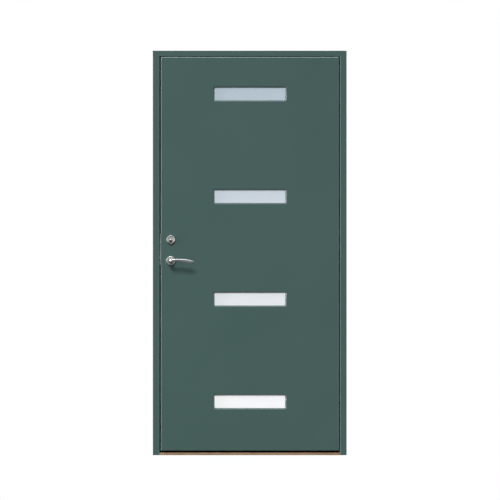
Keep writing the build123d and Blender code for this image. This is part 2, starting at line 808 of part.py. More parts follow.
# Cam: its pin throws the dead bolt through a quarter turn
turn_hole = turn_square + 2 * spindle_clearance
with BuildPart() as lock_cam:
    with BuildSketch(upright(cam_layer)):
        with Locations((spindle_x, cylinder_z)):
            Circle(cam_hub_radius)
        with Locations((spindle_x + cam_radius * sin(radians(45)) / 2, cylinder_z - cam_radius * cos(radians(45)) / 2)):
            SlotCenterToCenter(cam_radius, cam_arm_width, rotation=-45)
    extrude(amount=-cam_thickness)
    with BuildSketch(upright(cam_layer)):
        with Locations((spindle_x, cylinder_z)):
            Circle(cam_hub_radius)
    extrude(amount=-(bolt_back - running_clearance - cam_layer))
    with BuildSketch(upright(bolt_front + running_clearance)):
        with Locations((notch_x, cylinder_z - cam_radius * cos(radians(45)))):
            Circle(cam_pin_radius)
    extrude(amount=-(cam_layer - bolt_front))
    with BuildSketch(upright(cam_layer)):
        with Locations((spindle_x, cylinder_z)):
            Rectangle(turn_hole, turn_hole)
    extrude(amount=-(bolt_back - cam_layer), mode=Mode.SUBTRACT)
save(lock_cam, "lock_cam")

# Cylinder ring: round, with a lobe below for the plug's boss, and dished inside
with BuildPart() as cylinder_ring:
    with BuildSketch(upright(0)):
        with Locations((spindle_x, ring_z)):
            Circle(ring_radius)
        with Locations((spindle_x, cylinder_z)):
            Circle(ring_lobe_radius)
    extrude(amount=ring_height)
    chamfer(cylinder_ring.faces().sort_by(Axis.Y)[0].edges(), ring_edge)
    with BuildSketch(upright(-ring_height)):
        with Locations((spindle_x, ring_z)):
            Circle(ring_recess_radius)
    extrude(amount=-ring_recess_depth, mode=Mode.SUBTRACT)
    with BuildSketch(upright(-ring_height)):
        with Locations((spindle_x, cylinder_z)):
            Circle(boss_radius + cylinder_clearance)
    extrude(amount=-ring_height, mode=Mode.SUBTRACT)
save(cylinder_ring, "cylinder_ring")

# Lock cylinder: an oval body in the stile with a round boss through the ring, bored for the plug
boss_front = -(ring_height - boss_recess)
with BuildPart() as cylinder_body:
    with BuildSketch(upright(boss_front)):
        with Locations((spindle_x, cylinder_z)):
            Circle(boss_radius)
    extrude(amount=boss_front)
    with BuildSketch(upright(0)):
        with Locations((spindle_x, stadium_centre)):
            SlotOverall(cylinder_height, 2 * boss_radius, rotation=90)
    extrude(amount=-case_front)
    with BuildSketch(upright(boss_front)):
        with Locations((spindle_x, cylinder_z)):
            Circle(plug_radius + running_clearance / 2)
    extrude(amount=-(case_front - boss_front), mode=Mode.SUBTRACT)
save(cylinder_body, "cylinder_body")

# Key plug with its keyway, and a tail towards the cam
plug_front = boss_front + plug_recess
with BuildPart() as key_plug:
    with BuildSketch(upright(plug_front)):
        with Locations((spindle_x, cylinder_z)):
            Circle(plug_radius)
    extrude(amount=-(case_front - running_clearance - plug_front))
    with BuildSketch(upright(case_front - running_clearance)):
        with Locations((spindle_x, cylinder_z)):
            Circle(plug_tail_radius)
    extrude(amount=-(cam_layer - case_front))
    with BuildSketch(upright(plug_front)):
        with Locations((spindle_x, cylinder_z)):
            Rectangle(keyway_width, keyway_height)
    extrude(amount=-keyway_depth, mode=Mode.SUBTRACT)
save(key_plug, "key_plug")

# Thumbturn inside: an oval grip on a shaft that ends square in the cam
turn_base = leaf_thickness + turn_rose_height + turn_lift
with BuildPart() as thumbturn:
    with BuildSketch(upright(turn_base)):
        with Locations((spindle_x, cylinder_z)):
            SlotOverall(turn_length, turn_width, rotation=90)
    extrude(amount=-turn_height)
    fillet(thumbturn.faces().sort_by(Axis.Y)[-1].edges(), turn_edge)
    with BuildSketch(upright(lock_depth + case_thickness / 2)):
        with Locations((spindle_x, cylinder_z)):
            Circle(turn_shaft_radius)
    extrude(amount=-(turn_base - lock_depth - case_thickness / 2))
    with BuildSketch(upright(cam_layer + running_clearance)):
        with Locations((spindle_x, cylinder_z)):
            Rectangle(turn_square, turn_square)
    extrude(amount=-(lock_depth + case_thickness / 2 - cam_layer))
save(thumbturn, "thumbturn")

with BuildPart() as thumbturn_rose:
    with BuildSketch(upright(leaf_thickness)):
        with Locations((spindle_x, cylinder_z)):
            Circle(rose_radius)
            Circle(turn_shaft_radius + cylinder_clearance, mode=Mode.SUBTRACT)
    extrude(amount=-turn_rose_height)
    fillet(thumbturn_rose.faces().sort_by(Axis.Y)[-1].edges().sort_by(SortBy.RADIUS)[-1], rose_edge)
save(thumbturn_rose, "thumbturn_rose")

# Roses and levers, the same outside and inside
for name, depth, outward in (("outer", 0, 1), ("inner", leaf_thickness, -1)):
    with BuildPart() as rose:
        with BuildSketch(upright(depth)):
            with Locations((spindle_x, lever_height)):
                Circle(rose_radius)
        extrude(amount=outward * rose_height)
        rose_face = rose.faces().sort_by(Axis.Y)[0 if outward == 1 else -1]
        fillet(rose_face.edges(), rose_edge)
        with BuildSketch(upright(depth - outward * rose_height)):
            with Locations((spindle_x, lever_height)):
                Circle(rose_dish_radius)
        extrude(amount=-outward * rose_dish_depth, mode=Mode.SUBTRACT)
        with BuildSketch(upright(depth)):
            with Locations((spindle_x, lever_height)):
                Circle(neck_radius + neck_clearance)
        extrude(amount=outward * rose_height, mode=Mode.SUBTRACT)
    save(rose, f"{name}_rose")
    # The lever: a round neck, then sections round the bend and along the arm to the rounded tip
    straight = handle_reach - handle_bend
    halfway = handle_bend * cos(radians(45))
    with BuildPart() as lever:
        with BuildSketch(upright(depth - outward * neck_lift)):
            with Locations((spindle_x, lever_height)):
                Circle(neck_radius)
        extrude(amount=outward * (straight - neck_blend - neck_lift))
        for distance in (straight - neck_blend, straight):
            with BuildSketch(upright(depth - outward * distance)):
                with Locations((spindle_x, lever_height)):
                    Circle(neck_radius)
        with BuildSketch(
            Plane(
                origin=(
                    spindle_x + handle_bend - halfway,
                    front + depth - outward * (straight + halfway),
                    lever_height + bend_rise,
                ),
                x_dir=(1, outward, 0),
                z_dir=(outward, -1, 0),
            )
        ):
            Ellipse(*bend_radii)
        for along, rise, half_height, half_thickness in arm_sections:
            with BuildSketch(
                Plane(
                    origin=(spindle_x + along, front + depth - outward * handle_reach, lever_height + rise),
                    x_dir=(0, outward, 0),
                    z_dir=(outward, 0, 0),
                )
            ):
                Ellipse(half_thickness, half_height)
        loft()
        with BuildSketch(upright(depth - outward * neck_lift)):
            with Locations((spindle_x, lever_height)):
                Rectangle(spindle_hole, spindle_hole)
        extrude(amount=outward * (spindle_seat - neck_lift), mode=Mode.SUBTRACT)
    save(lever, f"{name}_lever")

# Square spindle through the follower, seated in both levers
spindle_end = spindle_seat - spindle_end_play
with BuildPart() as spindle:
    with BuildSketch(upright(-spindle_end)):
        with Locations((spindle_x, lever_height)):
            Rectangle(spindle_size, spindle_size)
    extrude(amount=-(leaf_thickness + 2 * spindle_end))
save(spindle, "spindle")

# Links of the concealed hinges. Near pivots stand one link length from the swing axis, far pivots further out on
# the same line, and the two long links cross at the elbow
link_run = link_length * sin(radians(link_angle))
link_reach = link_length * cos(radians(link_angle))
extra_run = link_extension * sin(radians(link_angle))
extra_reach = link_extension * cos(radians(link_angle))
jamb_near = (hinge_x + link_run, hinge_y + link_reach)
jamb_far = (hinge_x + link_run + extra_run, hinge_y + link_reach + extra_reach)
stile_near = (hinge_x - link_run, hinge_y + link_reach)
stile_far = (hinge_x - link_run - extra_run, hinge_y + link_reach + extra_reach)
elbow = (hinge_x, hinge_y + 2 * link_reach)
left_joint = (hinge_x - extra_run, hinge_y + 2 * link_reach + extra_reach)
right_joint = (hinge_x + extra_run, hinge_y + 2 * link_reach + extra_reach)


def make_links(layer, pivot, end, holes, pin, pin_upward):
    """One kind of link for all the hinges: an eyed bar with its pivot pin, and a pin into the next layer."""
    with BuildPart() as links:
        for z in hinge_heights:
            bottom = z - stack_height / 2 + layer * (link_thickness + link_play)
            with BuildSketch(Plane.XY.offset(bottom)):
                SlotCenterPoint(((pivot[0] + end[0]) / 2, (pivot[1] + end[1]) / 2), end, link_width)
                with Locations(pivot, end, *holes):
                    Circle(eye_radius)
                if holes:
                    with Locations(*holes):
                        Circle(hinge_pin_radius + hinge_pin_clearance, mode=Mode.SUBTRACT)
            extrude(amount=link_thickness)
            with BuildSketch(Plane.XY.offset(z - cavity_height / 2 - pin_seat + pin_end_play)):
                with Locations(pivot):
                    Circle(hinge_pin_radius)
            extrude(amount=cavity_height + 2 * (pin_seat - pin_end_play))
            if pin:
                with BuildSketch(Plane.XY.offset(bottom + (link_thickness if pin_upward else 0))):
                    with Locations(pin):
                        Circle(hinge_pin_radius)
                extrude(amount=link_thickness if pin_upward else -link_thickness)
    return links


save(make_links(0, stile_far, left_joint, [], left_joint, True), "stile_short_links")
save(make_links(1, jamb_near, left_joint, [left_joint], elbow, True), "jamb_long_links")
save(make_links(2, stile_near, right_joint, [elbow, right_joint], None, True), "stile_long_links")
save(make_links(3, jamb_far, right_joint, [], right_joint, False), "jamb_short_links")

# Hinge cups: blocks let into jamb and stile, hollowed for the links, with seats for the pivot pins at both ends
for number, z in enumerate(hinge_heights, start=1):
    for name, edge_x, outward, pivots in (
        ("frame", jamb_inner, -1, (jamb_near, jamb_far)),
        ("leaf", leaf_right, 1, (stile_near, stile_far)),
    ):
        with BuildPart() as cup:
            with BuildSketch(edge_plane(edge_x, cup_y, z, outward)):
                RectangleRounded(cup_width, cup_height, cup_corner)
            extrude(amount=-cup_depth)
            with BuildSketch(edge_plane(edge_x, cup_y, z, outward)):
                Rectangle(cup_width - 2 * cup_wall, cavity_height)
            extrude(amount=-(cup_depth - cup_floor), mode=Mode.SUBTRACT)
            with BuildSketch(Plane.XY.offset(z - cavity_height / 2 - pin_seat)):
                with Locations(*pivots):
                    Circle(hinge_pin_radius + hinge_pin_clearance)
            extrude(amount=cavity_height + 2 * pin_seat, mode=Mode.SUBTRACT)
            with Locations([edge_plane(edge_x, cup_y, z + end * cup_screw_spacing / 2, outward) for end in (-1, 1)]):
                CounterSinkHole(screw_hole_radius, screw_seat_radius)
        save(cup, f"hinge_{number}_{name}_cup")

# Countersunk screws of the lock and hinges
for name, planes in (
    ("leaf_hardware_screws", faceplate_screw_planes + stile_cup_screw_planes),
    ("jamb_hardware_screws", strike_screw_planes + jamb_cup_screw_planes),
):
    with BuildPart() as screws:
        with Locations(planes):
            Cylinder(screw_radius, screw_length, align=hung)
            Cone(screw_radius, screw_head_radius, screw_head_height, align=hung)
    save(screws, name)
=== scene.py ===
import bmesh
import bpy
from math import cos, pi, radians, sin, sqrt
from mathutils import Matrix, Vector


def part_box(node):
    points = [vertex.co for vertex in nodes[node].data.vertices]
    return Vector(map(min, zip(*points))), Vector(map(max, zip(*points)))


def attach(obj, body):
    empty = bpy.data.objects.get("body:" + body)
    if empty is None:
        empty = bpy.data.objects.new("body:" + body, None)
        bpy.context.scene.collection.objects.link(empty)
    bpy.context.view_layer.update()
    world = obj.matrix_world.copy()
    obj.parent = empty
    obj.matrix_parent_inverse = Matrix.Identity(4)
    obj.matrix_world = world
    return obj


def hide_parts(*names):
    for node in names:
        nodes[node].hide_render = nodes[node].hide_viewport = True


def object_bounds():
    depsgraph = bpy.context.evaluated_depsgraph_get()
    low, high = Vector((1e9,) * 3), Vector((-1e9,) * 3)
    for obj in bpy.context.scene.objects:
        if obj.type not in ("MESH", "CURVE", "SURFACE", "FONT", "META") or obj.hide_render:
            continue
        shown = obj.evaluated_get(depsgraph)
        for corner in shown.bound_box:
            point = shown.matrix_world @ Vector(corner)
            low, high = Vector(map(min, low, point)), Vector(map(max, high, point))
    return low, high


# An outward-opening front door in its frame: painted leaf with four frosted lights, satin steel furniture and
# an oak threshold. The scene is in metres, in the door's own frame: X to the right as seen from outside, Y
# inward, and Z up, with the origin under the middle of the threshold. Sizes of single pieces are written in
# millimetres.

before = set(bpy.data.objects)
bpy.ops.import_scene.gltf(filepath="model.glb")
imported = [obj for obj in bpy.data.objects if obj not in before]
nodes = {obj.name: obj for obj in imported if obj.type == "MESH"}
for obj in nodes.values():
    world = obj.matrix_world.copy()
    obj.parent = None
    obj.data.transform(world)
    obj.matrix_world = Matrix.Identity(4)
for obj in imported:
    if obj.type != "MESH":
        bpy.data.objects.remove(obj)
cad_low, cad_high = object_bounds()

MM = 0.001


def middle(node):
    """The middle of a node's box."""
    low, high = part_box(node)
    return (low + high) / 2


# Places on the door

outside_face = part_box("outer_skin")[0].y
inside_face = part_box("inner_skin")[1].y
axis_x = middle("spindle").x
lever_z = middle("spindle").z
turn_z = middle("key_plug").z
ring_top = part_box("cylinder_ring")[1].z
lever_length = (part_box("outer_lever")[1].x - axis_x) / MM


# Shader groups

def new_group(name, inputs, outputs):
    """An empty shader group with its sockets: inputs are (name, type, default) and outputs (name, type)."""
    group = bpy.data.node_groups.new(name, "ShaderNodeTree")
    for label, kind, value in inputs:
        socket = group.interface.new_socket(label, in_out="INPUT", socket_type=kind)
        if value is not None:
            socket.default_value = value
    for label, kind in outputs:
        group.interface.new_socket(label, in_out="OUTPUT", socket_type=kind)
    return group, group.nodes.new("NodeGroupInput"), group.nodes.new("NodeGroupOutput")


def maths(tree, operation, a, b=None, clamp=False):
    """A Math node on sockets or numbers, and its output."""
    node = tree.nodes.new("ShaderNodeMath")
    node.operation = operation
    node.use_clamp = clamp
    for index, value in enumerate((a, b)):
        if value is None:
            continue
        if isinstance(value, (int, float)):
            node.inputs[index].default_value = value
        else:
            tree.links.new(value, node.inputs[index])
    return node.outputs[0]


# A Mix node has sockets for each kind of data, and these are the ones for colours
mix_a = 6
mix_b = 7
mix_result = 2


def mix_colour(tree, factor, a, b):
    """A colour mix of sockets or plain colours, and its output."""
    node = tree.nodes.new("ShaderNodeMix")
    node.data_type = "RGBA"
    for socket, value in ((node.inputs["Factor"], factor), (node.inputs[mix_a], a), (node.inputs[mix_b], b)):
        if isinstance(value, (int, float)):
            socket.default_value = value
        elif isinstance(value, (tuple, list)):
            socket.default_value = (*value[:3], 1.0)
        else:
            tree.links.new(value, socket)
    return node.outputs[mix_result]


def spread(tree, value, low, high, new_low, new_high):
    """A clamped Map Range from one span to another, and its output."""
    node = tree.nodes.new("ShaderNodeMapRange")
    tree.links.new(value, node.inputs["Value"])
    for socket, number in zip(
        ("From Min", "From Max", "To Min", "To Max"), (low, high, new_low, new_high)
    ):
        if isinstance(number, (int, float)):
            node.inputs[socket].default_value = number
        else:
            tree.links.new(number, node.inputs[socket])
    return node.outputs["Result"]


def noise_at(tree, place, scale, detail, distortion=0.0):
    """A noise at the coordinates of a socket, and its output. The scale is a number or a socket."""
    node = tree.nodes.new("ShaderNodeTexNoise")
    node.inputs["Detail"].default_value = detail
    node.inputs["Distortion"].default_value = distortion
    tree.links.new(place, node.inputs["Vector"])
    if isinstance(scale, (int, float)):
        node.inputs["Scale"].default_value = scale
    else:
        tree.links.new(scale, node.inputs["Scale"])
    return node.outputs["Fac"]


def noise(tree, scale, detail):
    """A noise over the piece's own coordinates, and its output."""
    place = tree.nodes.new("ShaderNodeTexCoord")
    return noise_at(tree, place.outputs["Object"], scale, detail)


def stretched_place(group, along):
    """The piece's own coordinates times a vector socket, so that a noise on them runs along one axis."""
    place = group.nodes.new("ShaderNodeTexCoord")
    stretch = group.nodes.new("ShaderNodeVectorMath")
    stretch.operation = "MULTIPLY"
    group.links.new(place.outputs["Object"], stretch.inputs[0])
    group.links.new(along, stretch.inputs[1])
    return stretch.outputs["Vector"]


def own_normal(group):
    """X, Y and Z of the piece's own normal. It turns with the piece, so a mask made of it stays in place as
    the leaf swings."""
    place = group.nodes.new("ShaderNodeTexCoord")
    parts = group.nodes.new("ShaderNodeSeparateXYZ")
    group.links.new(place.outputs["Normal"], parts.inputs["Vector"])
    return parts.outputs


def toned(group, colour, value, low, high, amount):
    """A colour that gets darker and lighter by an amount as a value goes from low to high."""
    darkest = maths(group, "SUBTRACT", 1.0, amount)
    lightest = maths(group, "ADD", 1.0, amount)
    node = group.nodes.new("ShaderNodeHueSaturation")
    group.links.new(colour, node.inputs["Color"])
    group.links.new(spread(group, value, low, high, darkest, lightest), node.inputs["Value"])
    return node.outputs["Color"]


def hand_out(group, made, colour, roughness, height):
    """Link a finish's three results to the outputs of its group."""
    group.links.new(colour, made.inputs["Colour"])
    group.links.new(roughness, made.inputs["Roughness"])
    group.links.new(height, made.inputs["Height"])
    return group


finish_outputs = [
    ("Colour", "NodeSocketColor"),
    ("Roughness", "NodeSocketFloat"),
    ("Height", "NodeSocketFloat"),
]
# A pale grey on faces that look up: partly dust, partly painted light falling from above
dust_and_painted_light_colour = (0.45, 0.44, 0.41)


def sprayed_film_group():
    """Sprayed paint: a faint orange peel, slow drifts of tone and gloss, a painted highlight on rounded
    edges, and dust mixed with painted light on faces that look up.
    """
    group, given, made = new_group(
        "sprayed_film",
        [
            ("Colour", "NodeSocketColor", (0.06, 0.11, 0.10, 1)),
            ("Gloss roughness", "NodeSocketFloat", 0.4),
            ("Tone drift", "NodeSocketFloat", 0.06),
            ("Dust and painted light", "NodeSocketFloat", 0.1),
            ("Rubbed colour", "NodeSocketColor", (0.30, 0.38, 0.36, 1)),
            ("Edge rub", "NodeSocketFloat", 0.0),
        ],
        finish_outputs,
    )
    slow = noise(group, scale=2.2, detail=3)
    fine = noise(group, scale=900, detail=2)
    peel = noise(group, scale=260, detail=1)
    patches = noise(group, scale=30, detail=4)
    drifted = toned(group, given.outputs["Colour"], slow, 0.3, 0.7, given.outputs["Tone drift"])

    normal = own_normal(group)
    sizes = [maths(group, "ABSOLUTE", normal[axis]) for axis in "XYZ"]
    squareness = maths(group, "MAXIMUM", maths(group, "MAXIMUM", sizes[0], sizes[1]), sizes[2])
    rounding = spread(group, squareness, 0.80, 0.985, 1.0, 0.0)
    # Rounded edges get a lighter colour: a painted highlight for light caught on the rounding
    wanted_edge_highlight = maths(group, "MULTIPLY", rounding, given.outputs["Edge rub"])
    edge_highlight = maths(group, "MULTIPLY", wanted_edge_highlight, spread(group, patches, 0.3, 0.6, 0.75, 1.0))
    highlighted = mix_colour(group, edge_highlight, drifted, given.outputs["Rubbed colour"])

    # Faces that look up turn pale grey: partly a trace of dust, partly painted light from above
    upward = maths(group, "MAXIMUM", normal["Z"], 0.0)
    speckle = spread(group, fine, 0.45, 0.7, 0.0, 1.0)
    dust_and_painted_light = maths(group, "MULTIPLY", maths(group, "MULTIPLY", upward, speckle), given.outputs["Dust and painted light"])
    colour = mix_colour(group, dust_and_painted_light, highlighted, dust_and_painted_light_colour)

    slow_rough = spread(group, slow, 0.3, 0.7, -0.03, 0.03)
    fine_rough = spread(group, fine, 0.3, 0.7, -0.02, 0.02)
    rough = maths(group, "ADD", given.outputs["Gloss roughness"], slow_rough)
    rough = maths(group, "ADD", rough, fine_rough)
    rough = maths(group, "ADD", rough, maths(group, "MULTIPLY", dust_and_painted_light, 0.3))
    return hand_out(group, made, colour, rough, peel)


def sawn_grain_group():
    """Wood grain along one axis: growth bands, fibres, short dark pores, and painted shade on faces
    that look up.
    """
    group, given, made = new_group(
        "sawn_grain",
        [
            ("Early wood", "NodeSocketColor", (0.4, 0.26, 0.14, 1)),
            ("Late wood", "NodeSocketColor", (0.2, 0.12, 0.06, 1)),
            ("Pore", "NodeSocketColor", (0.08, 0.05, 0.03, 1)),
            ("Along", "NodeSocketVector", (1.0, 14.0, 14.0)),
            ("Roughness", "NodeSocketFloat", 0.6),
            ("Worn colour", "NodeSocketColor", (0.03, 0.02, 0.01, 1)),
            ("Wear on top", "NodeSocketFloat", 0.0),
        ],
        finish_outputs,
    )
    place = stretched_place(group, given.outputs["Along"])
    bands = noise_at(group, place, scale=3.0, detail=4, distortion=1.4)
    fibres = noise_at(group, place, scale=26.0, detail=6, distortion=0.2)
    pores = noise_at(group, place, scale=60.0, detail=2)

    ripple = maths(group, "SINE", maths(group, "MULTIPLY", bands, 46.0))
    rings = spread(group, ripple, -0.6, 1.0, 0.0, 0.65)
    blend = maths(group, "ADD", rings, spread(group, fibres, 0.35, 0.65, 0.0, 0.4), clamp=True)
    wood = mix_colour(group, blend, given.outputs["Early wood"], given.outputs["Late wood"])
    pore_mask = spread(group, pores, 0.60, 0.70, 0.0, 0.75)
    porous = mix_colour(group, pore_mask, wood, given.outputs["Pore"])

    # Faces that look up are darkened: painted shade, for the threshold's top in the shade under the leaf
    upward = spread(group, own_normal(group)["Z"], 0.15, 0.75, 0.0, 1.0)
    patchy_top_shade = maths(group, "MULTIPLY", upward, spread(group, bands, 0.3, 0.7, 0.75, 1.0))
    painted_top_shade = maths(group, "MULTIPLY", patchy_top_shade, given.outputs["Wear on top"])
    colour = mix_colour(group, painted_top_shade, porous, given.outputs["Worn colour"])

    rough = maths(group, "ADD", given.outputs["Roughness"], spread(group, fibres, 0.3, 0.7, -0.08, 0.08))
    height = maths(group, "SUBTRACT", fibres, maths(group, "MULTIPLY", pore_mask, 0.8))
    return hand_out(group, made, colour, rough, height)


def brushed_metal_group():
    """Metal rubbed in one direction: fine marks in the colour, the gloss and the surface."""
    group, given, made = new_group(
        "brushed_metal",
        [
            ("Colour", "NodeSocketColor", (0.6, 0.6, 0.6, 1)),
            ("Roughness", "NodeSocketFloat", 0.3),
            ("Marks", "NodeSocketFloat", 0.06),
            ("Along", "NodeSocketVector", (1.0, 20.0, 20.0)),
        ],
        finish_outputs,
    )
    lines = noise_at(group, stretched_place(group, given.outputs["Along"]), scale=220, detail=4)
    smear = noise(group, scale=60, detail=3)
    colour = toned(group, given.outputs["Colour"], lines, 0.3, 0.7, given.outputs["Marks"])
    rough = maths(group, "ADD", given.outputs["Roughness"], spread(group, lines, 0.3, 0.7, -0.05, 0.07))
    rough = maths(group, "ADD", rough, spread(group, smear, 0.3, 0.7, -0.03, 0.05))
    return hand_out(group, made, colour, rough, lines)


def rough_face_group():
    """A matt face with small grains, for rubber and foam."""
    group, given, made = new_group(
        "rough_face",
        [
            ("Colour", "NodeSocketColor", (0.1, 0.1, 0.1, 1)),
            ("Roughness", "NodeSocketFloat", 0.7),
            ("Grain size", "NodeSocketFloat", 500.0),
            ("Grain tone", "NodeSocketFloat", 0.15),
        ],
        finish_outputs,
    )
    grains = noise(group, given.outputs["Grain size"], detail=3)
    patches = noise(group, scale=12, detail=3)
    both = maths(group, "ADD", maths(group, "MULTIPLY", grains, 0.6), maths(group, "MULTIPLY", patches, 0.4))
    colour = toned(group, given.outputs["Colour"], both, 0.35, 0.65, given.outputs["Grain tone"])
    rough = maths(group, "ADD", given.outputs["Roughness"], spread(group, both, 0.35, 0.65, -0.06, 0.06))
    return hand_out(group, made, colour, rough, grains)


sprayed_film = sprayed_film_group()
sawn_grain = sawn_grain_group()
brushed_metal = brushed_metal_group()
rough_face = rough_face_group()


# Materials

def linear(red, green, blue):
    """A colour given as 0 to 255 on screen, as the shader takes it."""
    return tuple(
        (c / 255 / 12.92) if c <= 10 else ((c / 255 + 0.055) / 1.055) ** 2.4 for c in (red, green, blue)
    )


def new_material(name, group, values, bump=0.0, bump_distance=0.0001, **shader):
    """A material whose colour, gloss and relief come from one group, and whose other values are plain."""
    material = bpy.data.materials.new(name)
    material.use_nodes = True
    tree = material.node_tree
    principled = tree.nodes["Principled BSDF"]
    finish = tree.nodes.new("ShaderNodeGroup")
    finish.node_tree = group
    for label, value in values.items():
        socket = finish.inputs[label]
        socket.default_value = (*value, 1.0) if socket.type == "RGBA" else value
    tree.links.new(finish.outputs["Colour"], principled.inputs["Base Color"])
    tree.links.new(finish.outputs["Roughness"], principled.inputs["Roughness"])
    if bump:
        relief = tree.nodes.new("ShaderNodeBump")
        relief.inputs["Strength"].default_value = bump
        relief.inputs["Distance"].default_value = bump_distance
        tree.links.new(finish.outputs["Height"], relief.inputs["Height"])
        tree.links.new(relief.outputs["Normal"], principled.inputs["Normal"])
    for label, value in shader.items():
        principled.inputs[label.replace("_", " ")].default_value = value
    return material


paint_green = linear(62, 88, 84)
# The paint's lighter colour on rounded edges is a painted highlight
door_paint = new_material(
    "door_paint", sprayed_film,
    {
        "Colour": paint_green, "Gloss roughness": 0.36, "Tone drift": 0.012, "Dust and painted light": 0.05,
        "Rubbed colour": linear(150, 170, 166), "Edge rub": 0.64,
    },
    bump=0.10, bump_distance=0.0002, Specular_IOR_Level=0.50,
)
# On the trims the pale grey on faces that look up is dust and painted light on the lit lower bevels
trim_paint = new_material(
    "trim_paint", sprayed_film,
    {"Colour": paint_green, "Gloss roughness": 0.22, "Tone drift": 0.012, "Dust and painted light": 0.30},
    bump=0.05, bump_distance=0.0002, Specular_IOR_Level=1.0,
)
# The oak's dark colour on its top faces is painted shade
oiled_oak = new_material(
    "oiled_oak", sawn_grain,
    {
        "Early wood": linear(160, 130, 96), "Late wood": linear(128, 96, 64), "Pore": linear(90, 64, 40),
        "Along": (1.0, 12.0, 12.0), "Roughness": 0.52,
        "Worn colour": linear(48, 30, 12), "Wear on top": 0.95,
    },
    bump=0.35, bump_distance=0.0004,
)
satin_steel = new_material(
    "satin_steel", brushed_metal,
    {"Colour": linear(194, 195, 194), "Roughness": 0.34, "Marks": 0.04, "Along": (1.0, 12.0, 12.0)},
    bump=0.04, bump_distance=0.00005, Metallic=1.0,
)
satin_cover = new_material(
    "satin_cover", brushed_metal,
    {"Colour": linear(198, 199, 198), "Roughness": 0.46, "Marks": 0.04, "Along": (5.0, 5.0, 5.0)},
    bump=0.04, bump_distance=0.00005, Metallic=1.0,
)
faceplate_steel = new_material(
    "faceplate_steel", brushed_metal,
    {"Colour": linear(142, 151, 149), "Roughness": 0.40, "Marks": 0.06, "Along": (14.0, 14.0, 1.0)},
    bump=0.05, bump_distance=0.00005, Metallic=1.0,
)
plated_steel = new_material(
    "plated_steel", brushed_metal,
    {"Colour": linear(176, 178, 180), "Roughness": 0.34, "Marks": 0.08, "Along": (4.0, 4.0, 4.0)},
    bump=0.06, bump_distance=0.00005, Metallic=1.0,
)
nickel = new_material(
    "nickel", brushed_metal,
    {"Colour": linear(190, 184, 180), "Roughness": 0.28, "Marks": 0.05, "Along": (3.0, 3.0, 3.0)},
    bump=0.03, bump_distance=0.00004, Metallic=1.0,
)
# The plug's dark grey is painted shade, for the shadow in its recess and keyway
plug_painted_shade = new_material(
    "plug_painted_shade", brushed_metal,
    {"Colour": linear(84, 80, 80), "Roughness": 0.42, "Marks": 0.10, "Along": (3.0, 3.0, 3.0)},
    bump=0.05, bump_distance=0.00004, Metallic=1.0,
)
mill_aluminium = new_material(
    "mill_aluminium", brushed_metal,
    {"Colour": linear(196, 198, 200), "Roughness": 0.36, "Marks": 0.07, "Along": (1.0, 16.0, 16.0)},
    bump=0.06, bump_distance=0.00006, Metallic=1.0,
)
seal_rubber = new_material(
    "seal_rubber", rough_face,
    {"Colour": linear(34, 35, 36), "Roughness": 0.72, "Grain size": 800.0, "Grain tone": 0.2},
    bump=0.2, bump_distance=0.0001,
)
rigid_foam = new_material(
    "rigid_foam", rough_face,
    {"Colour": linear(226, 216, 178), "Roughness": 0.85, "Grain size": 300.0, "Grain tone": 0.1},
    bump=0.4, bump_distance=0.0004,
)


# Colours of the glass from the lowest light to the highest: a painted reflection
painted_reflection_tones = (linear(255, 255, 255), linear(234, 237, 241), linear(207, 216, 224), linear(184, 199, 209))
glass_cloud = (0.75, 0.8, 0.86)


def frosted_glass_material():
    """Etched glass with a painted reflection: its colour darkens from the lowest light to the highest."""
    material = bpy.data.materials.new("frosted_glass")
    material.use_nodes = True
    tree = material.node_tree
    principled = tree.nodes["Principled BSDF"]
    place = tree.nodes.new("ShaderNodeTexCoord")
    parts = tree.nodes.new("ShaderNodeSeparateXYZ")
    tree.links.new(place.outputs["Object"], parts.inputs["Vector"])
    lowest = middle("light_4_panes").z
    highest = middle("light_1_panes").z
    ramp = tree.nodes.new("ShaderNodeValToRGB")
    tree.links.new(spread(tree, parts.outputs["Z"], lowest, highest, 0.0, 1.0), ramp.inputs["Fac"])
    stops = ramp.color_ramp.elements
    while len(stops) < len(painted_reflection_tones):
        stops.new(0.5)
    for index, (stop, reflection_tone) in enumerate(zip(stops, painted_reflection_tones)):
        stop.position = index / (len(painted_reflection_tones) - 1)
        stop.color = (*reflection_tone, 1.0)

    etched = noise(tree, scale=1400, detail=2)
    clouds = spread(tree, noise(tree, scale=18, detail=2), 0.3, 0.7, 0.0, 0.08)
    clouded = mix_colour(tree, clouds, ramp.outputs["Color"], glass_cloud)
    tree.links.new(clouded, principled.inputs["Base Color"])
    tree.links.new(spread(tree, etched, 0.3, 0.7, 0.22, 0.32), principled.inputs["Roughness"])
    relief = tree.nodes.new("ShaderNodeBump")
    relief.inputs["Strength"].default_value = 0.08
    relief.inputs["Distance"].default_value = 0.00005
    tree.links.new(etched, relief.inputs["Height"])
    tree.links.new(relief.outputs["Normal"], principled.inputs["Normal"])
    principled.inputs["Transmission Weight"].default_value = 0.05
    principled.inputs["IOR"].default_value = 1.5
    return material


frosted_glass = frosted_glass_material()


# Finishes of the pieces that CAD makes

def finish(material, *names):
    """Give these CAD nodes one material."""
    for name in names:
        node = nodes[name]
        node.data.materials.clear()
        node.data.materials.append(material)


